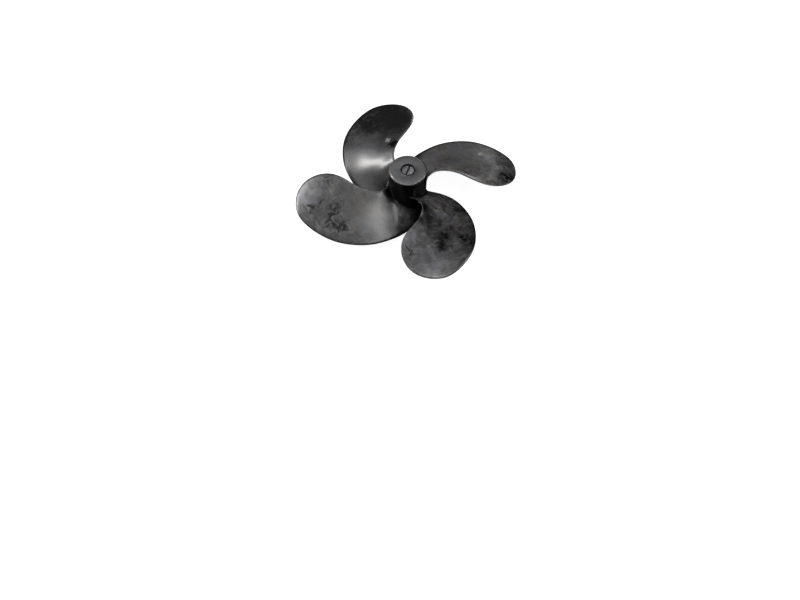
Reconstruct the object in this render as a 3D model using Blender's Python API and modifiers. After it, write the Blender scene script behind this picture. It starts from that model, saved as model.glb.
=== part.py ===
"""Four-blade propeller of a pond de-icer, standing on its hub with the nose up.

The origin is the centre of the hub's back face, and +Z runs along the shaft axis to the nose.
The hub and its four blades are one moulding. A metal insert in its middle takes the motor's
shaft from the back, and a slotted cheese-head screw sits in the recess of the nose.
"""

import math

import bmesh
import bpy
import numpy as np
from mathutils import Matrix

MM = 0.001
QUARTER_TURN = math.pi / 2
FULL_TURN_DEG = 360.0

COLLECTION_NAME = "deicer_propeller"
TOOLS_NAME = "deicer_propeller_tools"

# What stands between two pieces that touch in the real object.
SEAT_GAP = 0.3 * MM

# Hub barrel
HUB_RADIUS = 19.4 * MM
HUB_LENGTH = 56.0 * MM
HUB_WALL = 3.5 * MM
NOSE_THICKNESS = 9.0 * MM
NOSE_EDGE_RADIUS = 2.4 * MM
NOSE_EDGE_STEPS = 6
BACK_EDGE_CHAMFER = 0.6 * MM
HUB_SIDES = 72

# Slotted cheese-head screw
SCREW_HEAD_RADIUS = 6.2 * MM
SCREW_HEAD_HEIGHT = 5.0 * MM
SCREW_HEAD_EDGE = 0.8 * MM
SCREW_EDGE_STEPS = 4
SCREW_SHANK_RADIUS = 4.0 * MM
SCREW_SINK = 0.5 * MM
SLOT_WIDTH = 1.9 * MM
SLOT_DEPTH = 2.2 * MM
SLOT_ANGLE_DEG = 73.0
SCREW_SIDES = 40

# Recess that the screw's head lies in
RECESS_RADIUS = 7.4 * MM

# Metal insert and the shaft socket in it
INSERT_RADIUS = 8.0 * MM
INSERT_LENGTH = 42.0 * MM
INSERT_SINK = 0.4 * MM
SOCKET_RADIUS = 6.35 * MM
SOCKET_DEPTH = 34.0 * MM
SOCKET_CHAMFER = 0.6 * MM
BOSS_WALL = 3.0 * MM

# Ribs between the boss and the barrel, seen from the back
RIB_COUNT = 8
RIB_THICKNESS = 2.2 * MM
RIB_SINK = 3.0 * MM
RIB_BITE = 1.6 * MM

# Blades
BLADE_COUNT = 4
TIP_RADIUS = 115.4 * MM
TIP_ANGLE = -71.8
TIP_HEIGHT = 24.8 * MM
TIP_PITCH = 101.0 * MM
TIP_THICKNESS = 2.2 * MM
ROOT_DEPTH = 1.6 * MM
ROOT_FILLET = 3.0 * MM
ROOT_FILLET_START = 0.3 * MM
# Each face falls by this height over this width beside an edge.
EDGE_WIDTH = 3.2 * MM
EDGE_HEIGHT = 0.8 * MM
EDGE_TAPER = 7.0 * MM
# The blade is a helical face. Its height at one radius falls evenly as the angle about the
# axis grows, by the pitch for each full turn, and is known at the reference angle.
REFERENCE_ANGLE = -60.0
# Radius, angle of the hollow edge, angle of the full edge, pitch, height at the reference
# angle, thickness. Millimetres, and degrees anticlockwise about +Z.
BLADE_STATIONS = (
    (19.4, -84.0, 49.0, 85.0, 31.5, 5.2),
    (21.5, -72.5, 43.8, 98.0, 32.7, 4.9),
    (24.5, -67.0, 35.8, 114.0, 34.2, 4.6),
    (30.0, -63.8, 23.2, 130.0, 35.6, 4.1),
    (38.0, -66.8, 9.8, 135.0, 35.3, 3.7),
    (48.0, -74.6, -2.0, 133.0, 34.1, 3.4),
    (60.0, -85.0, -14.0, 129.0, 32.4, 3.1),
    (72.0, -91.1, -23.9, 124.0, 30.9, 2.9),
    (84.0, -92.7, -33.9, 118.0, 29.4, 2.7),
    (96.0, -90.9, -44.5, 112.0, 27.9, 2.5),
    (107.0, -86.2, -56.9, 106.0, 26.2, 2.3),
)
BLADE_ROWS = 24
BLADE_COLUMNS = 14
# Rows crowd towards the root, where the fillet is.
ROW_CROWDING = 1.5

# Finishes
NYLON_COLOUR = (0.035, 0.035, 0.037)
NYLON_ROUGHNESS = 0.42
BRASS_COLOUR = (0.55, 0.42, 0.20)
BRASS_ROUGHNESS = 0.38
STEEL_COLOUR = (0.33, 0.33, 0.33)
STEEL_ROUGHNESS = 0.40
SHARP_ANGLE_DEG = 32.0

# Heights and radii that follow from the above
NOSE_Z = HUB_LENGTH
SCREW_TOP_Z = NOSE_Z - SCREW_SINK
SCREW_SEAT_Z = SCREW_TOP_Z - SCREW_HEAD_HEIGHT
RECESS_FLOOR_Z = SCREW_SEAT_Z - SEAT_GAP
CORE_TOP_Z = HUB_LENGTH - NOSE_THICKNESS
CORE_RADIUS = HUB_RADIUS - HUB_WALL
BOSS_RADIUS = INSERT_RADIUS + SEAT_GAP + BOSS_WALL
INSERT_TOP_Z = INSERT_SINK + INSERT_LENGTH
SOCKET_TOP_Z = INSERT_SINK + SOCKET_DEPTH
SCREW_END_Z = SOCKET_TOP_Z + SCREW_SINK
SCREW_HOLE_RADIUS = SCREW_SHANK_RADIUS + SEAT_GAP
SLOT_REACH = 1.5 * SCREW_HEAD_RADIUS

# Steps for slopes that are worked out from two nearby points
SMALL_LENGTH = 0.05 * MM
SMALL_ANGLE_DEG = 0.05
SMALL_PLACE = 0.001
MERGE_DISTANCE = 0.01 * MM


def clear_scene():
    """Remove the objects that the scene starts with."""
    for obj in list(bpy.data.objects):
        bpy.data.objects.remove(obj, do_unlink=True)


def new_collection(name):
    """Make a collection in the scene."""
    collection = bpy.data.collections.new(name)
    bpy.context.scene.collection.children.link(collection)
    return collection


def make_material(name, colour, roughness, metallic):
    """Make a Principled material from a colour, a roughness and a metallic value."""
    material = bpy.data.materials.new(name)
    material.use_nodes = True
    shader = material.node_tree.nodes["Principled BSDF"]
    shader.inputs["Base Color"].default_value = (*colour, 1.0)
    shader.inputs["Roughness"].default_value = roughness
    shader.inputs["Metallic"].default_value = metallic
    material.diffuse_color = (*colour, 1.0)
    return material


def add_object(name, shape, collection):
    """Put a bmesh into a collection as an object."""
    mesh = bpy.data.meshes.new(name)
    shape.to_mesh(mesh)
    shape.free()
    obj = bpy.data.objects.new(name, mesh)
    collection.objects.link(obj)
    return obj


def add_turned(name, profile, sides, collection, ring):
    """Turn a profile of (radius, height) points about +Z.

    The profile runs down the outer side. It closes on itself for a ring, and starts and ends
    on the axis otherwise.
    """
    shape = bmesh.new()
    corners = [shape.verts.new((radius, 0.0, height)) for radius, height in profile]
    following = corners[1:] + corners[:1] if ring else corners[1:]
    for corner, next_corner in zip(corners, following):
        shape.edges.new((corner, next_corner))
    obj = add_object(name, shape, collection)
    screw = obj.modifiers.new("turn", "SCREW")
    screw.steps = sides
    screw.render_steps = sides
    screw.use_merge_vertices = True
    screw.merge_threshold = MERGE_DISTANCE
    return obj


def arc(centre, radius, start, end, steps):
    """Give the points of an arc in the (radius, height) plane, angles in degrees."""
    angles = [math.radians(start + (end - start) * step / steps) for step in range(steps + 1)]
    return [(centre[0] + radius * math.cos(a), centre[1] + radius * math.sin(a)) for a in angles]


def combine(obj, other, operation):
    """Join another object to one, or cut it away, and keep the other one as a guide."""
    modifier = obj.modifiers.new(other.name, "BOOLEAN")
    modifier.operation = operation
    modifier.solver = "EXACT"
    modifier.object = other
    other.hide_render = True
    other.display_type = "WIRE"


def finish_piece(obj, material):
    """Turn an object with its modifiers into a plain mesh, shaded smooth, with its material."""
    bpy.context.view_layer.update()
    evaluated = obj.evaluated_get(bpy.context.evaluated_depsgraph_get())
    mesh = bpy.data.meshes.new_from_object(evaluated)
    mesh.name = obj.name
    obj.modifiers.clear()
    obj.data = mesh
    mesh.materials.clear()
    mesh.materials.append(material)
    mesh.shade_smooth()
    mesh.set_sharp_from_angle(angle=math.radians(SHARP_ANGLE_DEG))


def cubic_through(places, values):
    """Give the natural cubic curve through some values, as a function of the place."""
    x = np.asarray(places, dtype=float)
    y = np.asarray(values, dtype=float)
    step = np.diff(x)
    slope = np.diff(y) / step
    system = np.eye(len(x))
    right = np.zeros(len(x))
    for i in range(1, len(x) - 1):
        system[i, i - 1 : i + 2] = step[i - 1], 2.0 * (step[i - 1] + step[i]), step[i]
        right[i] = 6.0 * (slope[i] - slope[i - 1])
    bend = np.linalg.solve(system, right)

    def value(place):
        i = int(np.clip(np.searchsorted(x, place) - 1, 0, len(x) - 2))
        before = place - x[i]
        after = x[i + 1] - place
        straight = y[i] * after / step[i] + y[i + 1] * before / step[i]
        curved = bend[i] * (after**3 / step[i] - after * step[i])
        curved += bend[i + 1] * (before**3 / step[i] - before * step[i])
        return straight + curved / 6.0

    return value


def blade_place(radius):
    """Give the place along the blade, which runs to a right angle where the tip is round."""
    return math.asin(min(radius / TIP_RADIUS, 1.0))


def blade_curves():
    """Give the smooth curves that rule the blade.

    Those of the two edges are functions of the place along the blade, which rounds the tip,
    and the others are functions of the radius.
    """
    radii, hollow, full, pitch, height, thickness = zip(*BLADE_STATIONS)
    stations = [radius * MM for radius in radii] + [TIP_RADIUS]
    places = [blade_place(radius) for radius in stations]
    return {
        "hollow": cubic_through(places, list(hollow) + [TIP_ANGLE]),
        "full": cubic_through(places, list(full) + [TIP_ANGLE]),
        "pitch": cubic_through(stations, [p * MM for p in pitch] + [TIP_PITCH]),
        "height": cubic_through(stations, [h * MM for h in height] + [TIP_HEIGHT]),
        "thickness": cubic_through(stations, [t * MM for t in thickness] + [TIP_THICKNESS]),
    }


def middle_point(radius, angle_deg, curves):
    """Give a point of the blade's middle face."""
    angle = math.radians(angle_deg)
    turned_by = (angle_deg - REFERENCE_ANGLE) / FULL_TURN_DEG
    height = curves["height"](radius) - curves["pitch"](radius) * turned_by
    return np.array((radius * math.cos(angle), radius * math.sin(angle), height))


def middle_normal(radius, angle_deg, curves):
    """Give the upward unit normal of the blade's middle face."""
    outward = middle_point(radius + SMALL_LENGTH, angle_deg, curves)
    outward -= middle_point(radius - SMALL_LENGTH, angle_deg, curves)
    around = middle_point(radius, angle_deg + SMALL_ANGLE_DEG, curves)
    around -= middle_point(radius, angle_deg - SMALL_ANGLE_DEG, curves)
    normal = np.cross(outward, around)
    return normal / np.linalg.norm(normal)


def edge_distance(radius, angle_deg, curves):
    """Give about how far a place on the blade is from its edge."""
    place = blade_place(radius)
    centre = min(place, QUARTER_TURN - SMALL_PLACE)
    run = TIP_RADIUS * math.cos(centre)
    gaps = []
    for edge, sign in ((curves["hollow"], 1.0), (curves["full"], -1.0)):
        turn = math.radians(edge(centre + SMALL_PLACE) - edge(centre - SMALL_PLACE))
        slant = math.hypot(1.0, radius * turn / (2 * SMALL_PLACE * run))
        arc_gap = sign * radius * math.radians(angle_deg - edge(place))
        gaps.append(max(arc_gap, 0.0) / slant)
    together = math.hypot(*gaps)
    return gaps[0] * gaps[1] / together if together > MERGE_DISTANCE else 0.0


def root_fillet(radius):
    """Give what the fillet at the hub adds to each face of the blade at a radius."""
    out = min(max(radius - HUB_RADIUS, ROOT_FILLET_START), ROOT_FILLET)
    return ROOT_FILLET - math.sqrt(ROOT_FILLET**2 - (ROOT_FILLET - out) ** 2)


def half_thickness(distance, body_thickness, radius):
    """Give half the blade's thickness at a distance from its edge."""
    across = min(distance / EDGE_WIDTH, 1.0)
    rounded = EDGE_HEIGHT * math.sqrt(1.0 - (1.0 - across) ** 2)
    swell = (body_thickness / 2 - EDGE_HEIGHT) * (1.0 - math.exp(-distance / EDGE_TAPER))
    return rounded + swell + root_fillet(radius) * (1.0 - math.exp(-distance / ROOT_FILLET))


def blade_row(place, curves):
    """Give the upper and the lower points across the blade at one place along it."""
    radius = TIP_RADIUS * math.sin(place)
    first, last = curves["hollow"](place), curves["full"](place)
    upper, lower = [], []
    for column in range(BLADE_COLUMNS + 1):
        across = math.sin(QUARTER_TURN * (2.0 * column / BLADE_COLUMNS - 1.0))
        angle_deg = (first + last) / 2 + across * (last - first) / 2
        distance = edge_distance(radius, angle_deg, curves)
        half = half_thickness(distance, curves["thickness"](radius), radius)
        offset = half * middle_normal(radius, angle_deg, curves)
        middle = middle_point(radius, angle_deg, curves)
        upper.append(middle + offset)
        lower.append(middle - offset)
    return upper, lower


def add_blade(name, collection):
    """Loft one blade from inside the hub's wall to its round tip."""
    curves = blade_curves()
    root = blade_place(HUB_RADIUS - ROOT_DEPTH)
    shape = bmesh.new()
    upper_rows, lower_rows = [], []
    for row in range(BLADE_ROWS):
        share = (row / BLADE_ROWS) ** ROW_CROWDING
        upper, lower = blade_row(root + (QUARTER_TURN - root) * share, curves)
        upper_row = [shape.verts.new(point) for point in upper]
        lower_row = [shape.verts.new(point) for point in lower[1:-1]]
        upper_rows.append(upper_row)
        lower_rows.append([upper_row[0]] + lower_row + [upper_row[-1]])
    tip = shape.verts.new(middle_point(TIP_RADIUS, TIP_ANGLE, curves))
    for rows in (upper_rows, lower_rows):
        for inner, outer in zip(rows, rows[1:]):
            for column in range(BLADE_COLUMNS):
                near, far = inner[column : column + 2], outer[column : column + 2]
                shape.faces.new((near[0], far[0], far[1], near[1]))
        for first, second in zip(rows[-1], rows[-1][1:]):
            shape.faces.new((first, tip, second))
    closing = list(zip(upper_rows[0], lower_rows[0]))
    for near, far in zip(closing, closing[1:]):
        shape.faces.new(tuple(dict.fromkeys((near[0], far[0], far[1], near[1]))))
    bmesh.ops.recalc_face_normals(shape, faces=shape.faces)
    return add_object(name, shape, collection)


def add_hub(name, collection):
    """Turn the hub: barrel, nose with the screw's recess, and the boss around the insert."""
    rim = (HUB_RADIUS - NOSE_EDGE_RADIUS, NOSE_Z - NOSE_EDGE_RADIUS)
    profile = [(RECESS_RADIUS, NOSE_Z)]
    profile += arc(rim, NOSE_EDGE_RADIUS, 90.0, 0.0, NOSE_EDGE_STEPS)
    profile += [
        (HUB_RADIUS, BACK_EDGE_CHAMFER),
        (HUB_RADIUS - BACK_EDGE_CHAMFER, 0.0),
        (CORE_RADIUS, 0.0),
        (CORE_RADIUS, CORE_TOP_Z),
        (BOSS_RADIUS, CORE_TOP_Z),
        (BOSS_RADIUS, 0.0),
        (INSERT_RADIUS + SEAT_GAP, 0.0),
        (INSERT_RADIUS + SEAT_GAP, INSERT_TOP_Z + SEAT_GAP),
        (SCREW_HOLE_RADIUS, INSERT_TOP_Z + SEAT_GAP),
        (SCREW_HOLE_RADIUS, RECESS_FLOOR_Z),
        (RECESS_RADIUS, RECESS_FLOOR_Z),
    ]
    return add_turned(name, profile, HUB_SIDES, collection, ring=True)


def add_ribs(name, collection):
    """Make the ribs that tie the boss to the barrel, as one guide of separate plates."""
    shape = bmesh.new()
    inner, outer = BOSS_RADIUS - RIB_BITE, CORE_RADIUS + RIB_BITE
    low, high = RIB_SINK, CORE_TOP_Z + RIB_BITE
    size = Matrix.Diagonal((outer - inner, RIB_THICKNESS, high - low, 1.0))
    place = Matrix.Translation(((inner + outer) / 2, 0.0, (low + high) / 2))
    for rib in range(RIB_COUNT):
        turn = Matrix.Rotation(math.tau * (rib + 0.5) / RIB_COUNT, 4, "Z")
        bmesh.ops.create_cube(shape, size=1.0, matrix=turn @ place @ size)
    return add_object(name, shape, collection)


def make_moulding(collection, tools):
    """Join the hub, the four blades and the ribs into one moulding."""
    moulding = add_hub("propeller_moulding", collection)
    for number in range(BLADE_COUNT):
        blade = add_blade(f"blade_{number + 1}", tools)
        blade.rotation_euler.z = math.tau * number / BLADE_COUNT
        combine(moulding, blade, "UNION")
    combine(moulding, add_ribs("ribs", tools), "UNION")
    nylon = make_material("charcoal_nylon", NYLON_COLOUR, NYLON_ROUGHNESS, 0.0)
    finish_piece(moulding, nylon)


def make_insert(collection):
    """Turn the metal insert with the shaft socket and the screw's hole."""
    profile = [
        (INSERT_RADIUS, INSERT_TOP_Z),
        (INSERT_RADIUS, INSERT_SINK),
        (SOCKET_RADIUS + SOCKET_CHAMFER, INSERT_SINK),
        (SOCKET_RADIUS, INSERT_SINK + SOCKET_CHAMFER),
        (SOCKET_RADIUS, SOCKET_TOP_Z),
        (SCREW_HOLE_RADIUS, SOCKET_TOP_Z),
        (SCREW_HOLE_RADIUS, INSERT_TOP_Z),
    ]
    insert = add_turned("shaft_insert", profile, SCREW_SIDES, collection, ring=True)
    finish_piece(insert, make_material("brass_insert", BRASS_COLOUR, BRASS_ROUGHNESS, 1.0))


def make_screw(collection, tools):
    """Turn the cheese-head screw and cut its slot."""
    edge = (SCREW_HEAD_RADIUS - SCREW_HEAD_EDGE, SCREW_TOP_Z - SCREW_HEAD_EDGE)
    profile = [(0.0, SCREW_TOP_Z)]
    profile += arc(edge, SCREW_HEAD_EDGE, 90.0, 0.0, SCREW_EDGE_STEPS)
    profile += [
        (SCREW_HEAD_RADIUS, SCREW_SEAT_Z),
        (SCREW_SHANK_RADIUS, SCREW_SEAT_Z),
        (SCREW_SHANK_RADIUS, SCREW_END_Z),
        (0.0, SCREW_END_Z),
    ]
    screw = add_turned("retaining_screw", profile, SCREW_SIDES, collection, ring=False)
    shape = bmesh.new()
    size = Matrix.Diagonal((2 * SLOT_REACH, SLOT_WIDTH, 2 * SLOT_DEPTH, 1.0))
    place = Matrix.Translation((0.0, 0.0, SCREW_TOP_Z))
    turn = Matrix.Rotation(math.radians(SLOT_ANGLE_DEG), 4, "Z")
    bmesh.ops.create_cube(shape, size=1.0, matrix=place @ turn @ size)
    combine(screw, add_object("screw_slot", shape, tools), "DIFFERENCE")
    finish_piece(screw, make_material("plated_steel", STEEL_COLOUR, STEEL_ROUGHNESS, 1.0))


def main():
    """Build the propeller."""
    clear_scene()
    collection = new_collection(COLLECTION_NAME)
    tools = new_collection(TOOLS_NAME)
    make_moulding(collection, tools)
    make_insert(collection)
    make_screw(collection, tools)


main()
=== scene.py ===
"""Looks of a pond de-icer propeller on a pale studio floor.

The hub and its four swept blades are one black moulding, dusty and scuffed from use, with
painted light and shade in its colour. A slotted cheese-head screw lies in the recess of the
nose, and a metal insert is seen from the back.

Lengths are in metres, unless a name ends in _mm, and angles in degrees where a name ends in
_deg. The origin is the centre of the hub's back face, and +Z runs up the shaft axis to the nose.
"""

import logging
import math
from dataclasses import dataclass, field
from enum import Enum
from typing import Callable, Mapping, Optional, Sequence, Union

import bmesh
import bpy
import numpy as np
from mathutils import Matrix, Vector


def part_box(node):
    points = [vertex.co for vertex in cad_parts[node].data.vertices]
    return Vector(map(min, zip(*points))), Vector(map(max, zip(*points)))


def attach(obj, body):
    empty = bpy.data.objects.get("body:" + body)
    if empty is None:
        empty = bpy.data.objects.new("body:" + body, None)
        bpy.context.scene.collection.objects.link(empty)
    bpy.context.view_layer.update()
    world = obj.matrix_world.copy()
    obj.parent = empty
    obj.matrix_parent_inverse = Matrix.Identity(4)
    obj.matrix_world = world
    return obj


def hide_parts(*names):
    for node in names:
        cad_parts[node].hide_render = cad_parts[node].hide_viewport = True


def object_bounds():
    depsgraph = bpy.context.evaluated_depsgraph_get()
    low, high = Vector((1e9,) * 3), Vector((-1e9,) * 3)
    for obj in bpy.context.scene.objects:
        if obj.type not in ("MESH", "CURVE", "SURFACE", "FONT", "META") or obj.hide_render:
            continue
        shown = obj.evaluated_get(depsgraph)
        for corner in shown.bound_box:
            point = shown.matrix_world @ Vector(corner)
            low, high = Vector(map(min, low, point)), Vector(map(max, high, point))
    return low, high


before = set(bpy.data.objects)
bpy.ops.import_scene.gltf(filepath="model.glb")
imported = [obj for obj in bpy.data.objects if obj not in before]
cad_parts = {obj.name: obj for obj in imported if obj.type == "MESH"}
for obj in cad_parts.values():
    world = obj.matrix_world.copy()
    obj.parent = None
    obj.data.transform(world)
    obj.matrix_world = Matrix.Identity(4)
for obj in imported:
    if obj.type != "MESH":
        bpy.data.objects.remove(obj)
CAD_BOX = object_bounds()

LOG = logging.getLogger("propeller")
MM = 0.001
QUARTER_TURN = math.pi / 2
FULL_TURN_DEG = 360.0
MERGE_DISTANCE = 0.01 * MM
HUB_RADIUS = 19.4 * MM

Colour = tuple[float, float, float]
Key = Union[int, str]
Number = Union[float, "Field"]
Point = tuple[float, float]
Profile = list[Point]
Span = tuple[float, float]

WHITE: Colour = (1.0, 1.0, 1.0)


class Blade(Enum):
    """The four blades, by where they point from the camera, with their turn about the axis."""

    FRONT = 0.0
    RIGHT = 90.0
    REAR = 180.0
    LEFT = 270.0


class Tint(Enum):
    """What a mark on the moulding does to its finish: real dust, stains and scuffs, and painted
    light and shade.
    """

    # Dust, and painted light: less dust where shade is painted, more where light is painted.
    DUST = "dust"
    STAIN = "stain"
    SCUFF = "scuff"
    # Painted shade: darker colour and a duller sheen where shade falls.
    SHADE = "shade"
    COOL = "cool"
    EVEN = "even"
    # Painted highlight on the nose's rounded rim.
    RIM = "rim"


class Side(Enum):
    """The two faces of a blade, with the sign of their normal."""

    UPPER = 1.0
    LOWER = -1.0


# Shader maths


@dataclass(frozen=True)
class Cloud:
    """A cloudy noise: the size of one cloud, its finer layers, how drawn out it is, its weight."""

    size: float
    detail: float = 3.0
    twist: float = 0.0
    weight: float = 1.0


def operator(operation: str, swapped: bool = False) -> Callable[["Field", Number], "Field"]:
    """Makes one of a field's operators.

    Args:
        operation: The operation of the Math node that it adds.
        swapped: True if the field is the node's second value.

    Returns:
        The operator.
    """

    def apply(this: "Field", other: Number) -> "Field":
        """Adds the Math node."""
        pair = (other, this) if swapped else (this, other)
        return this.bench.node("ShaderNodeMath", {"operation": operation}, dict(enumerate(pair)))

    return apply


class Field:
    """A value that varies over a surface, with Python's operators for its maths.

    The method angle_to gives the angle of the direction that has this value as its Y part and
    the other as its X part.
    """

    __add__ = operator("ADD")
    __radd__ = operator("ADD", swapped=True)
    __sub__ = operator("SUBTRACT")
    __rsub__ = operator("SUBTRACT", swapped=True)
    __mul__ = operator("MULTIPLY")
    __rmul__ = operator("MULTIPLY", swapped=True)
    __pow__ = operator("POWER")
    at_least = operator("MAXIMUM")
    at_most = operator("MINIMUM")
    angle_to = operator("ARCTAN2")

    def __init__(self, bench: "Bench", socket: bpy.types.NodeSocket) -> None:
        """Wraps an output socket of a bench's node tree."""
        self.bench = bench
        self.socket = socket

    def clamped(self) -> "Field":
        """Keeps the value from 0 to 1."""
        return self.at_least(0.0).at_most(1.0)

    def step(self, low: float, high: float) -> "Field":
        """Rises smoothly from 0 at the low value to 1 at the high one."""
        sockets = {"Value": self, "From Min": low, "From Max": high, "To Min": 0.0, "To Max": 1.0}
        return self.bench.node("ShaderNodeMapRange", {"interpolation_type": "SMOOTHSTEP"}, sockets)


class Bench:
    """A node tree in the making."""

    def __init__(self, tree: bpy.types.NodeTree) -> None:
        """Empties a tree and keeps it."""
        self.tree = tree
        tree.nodes.clear()

    @staticmethod
    def _find(sockets: Sequence[bpy.types.NodeSocket], key: Key) -> bpy.types.NodeSocket:
        """Finds a socket by its place or its identifier, or else by its name."""
        found = [one for place, one in enumerate(sockets) if key in (place, one.identifier)]
        return found[0] if found else sockets[key]

    def node(
        self,
        kind: str,
        settings: Optional[Mapping[str, object]] = None,
        sockets: Optional[Mapping[Key, object]] = None,
        output: Key = 0,
    ) -> Field:
        """Adds a node.

        Args:
            kind: The node's type.
            settings: Its properties, which are set first.
            sockets: The values or links of its inputs.
            output: The output that is wanted.

        Returns:
            That output.
        """
        made = self.tree.nodes.new(kind)
        for name, value in (settings or {}).items():
            setattr(made, name, value)
        for key, value in (sockets or {}).items():
            target = self._find(made.inputs, key)
            if isinstance(value, Field):
                self.tree.links.new(value.socket, target)
            elif target.type == "RGBA" and len(value) == 3:
                target.default_value = (*value, 1.0)
            else:
                target.default_value = value
        return Field(self, self._find(made.outputs, output)) if made.outputs else None

    def surface(self, values: Mapping[Key, object]) -> None:
        """Adds a Principled shader and the material's output."""
        shader = self.node("ShaderNodeBsdfPrincipled", None, values)
        self.node("ShaderNodeOutputMaterial", None, {"Surface": shader})

    def noise(self, place: Field, cloud: Cloud) -> Field:
        """Adds cloudy noise, about 0.5 on average."""
        spread = {"Scale": 1.0 / cloud.size, "Detail": cloud.detail, "Distortion": cloud.twist}
        return self.node(
            "ShaderNodeTexNoise", {"noise_dimensions": "3D"}, {"Vector": place, **spread}, "Fac"
        )

    def drift(self, place: Field, cloud: Cloud) -> Field:
        """Adds cloudy noise that goes both ways from 0, by its weight."""
        return cloud.weight * (self.noise(place, cloud) - 0.5)

    def bump(self, height: Field, depth: float, strength: float = 1.0) -> Field:
        """Gives the normal of a skin with a relief of some height, from 0 to 1, and depth."""
        sockets = {"Strength": strength, "Distance": depth, "Height": height}
        return self.node("ShaderNodeBump", None, sockets)

    def blend(self, share: Number, first: object, second: object) -> Field:
        """Mixes two colours, with a share of the second one."""
        sockets = {"Factor_Float": share, "A_Color": first, "B_Color": second}
        settings = {"data_type": "RGBA", "clamp_factor": True}
        return self.node("ShaderNodeMix", settings, sockets, "Result_Color")

    def stretched(self, place: Field, scale: Colour) -> Field:
        """Scales a place along X, Y and Z."""
        return self.node("ShaderNodeVectorMath", {"operation": "MULTIPLY"}, {0: place, 1: scale})

    def swirled(self, place: Field, seam_deg: float, scale: Colour) -> Field:
        """Unrolls a place about +Z, so that noise can be drawn out around the axis.

        Args:
            place: Where on the piece.
            seam_deg: The angle at which the unrolled place starts and ends.
            scale: The scale outwards, around (for each radian) and up.

        Returns:
            The unrolled place.
        """
        sockets = {"Vector": place, "Angle": math.radians(180.0 - seam_deg)}
        turned = self.node("ShaderNodeVectorRotate", {"rotation_type": "Z_AXIS"}, sockets)
        x, y, z = (self.node("ShaderNodeSeparateXYZ", None, {0: turned}, axis) for axis in "XYZ")
        outward = (x * x + y * y) ** 0.5
        sockets = {"X": outward * scale[0], "Y": y.angle_to(x) * scale[1], "Z": z * scale[2]}
        return self.node("ShaderNodeCombineXYZ", None, sockets)

    def attribute(self, name: str) -> Field:
        """Reads a number that the mesh carries at its points."""
        return self.node("ShaderNodeAttribute", {"attribute_name": name}, output="Fac")

    def place(self) -> Field:
        """Gives the place on the piece, in metres."""
        return self.node("ShaderNodeTexCoord", output="Object")


def new_material(name: str) -> tuple[bpy.types.Material, Bench]:
    """Makes an empty material.

    Args:
        name: Its name.

    Returns:
        The material and the bench for its nodes.
    """
    material = bpy.data.materials.new(name)
    material.use_nodes = True
    return material, Bench(material.node_tree)


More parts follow.
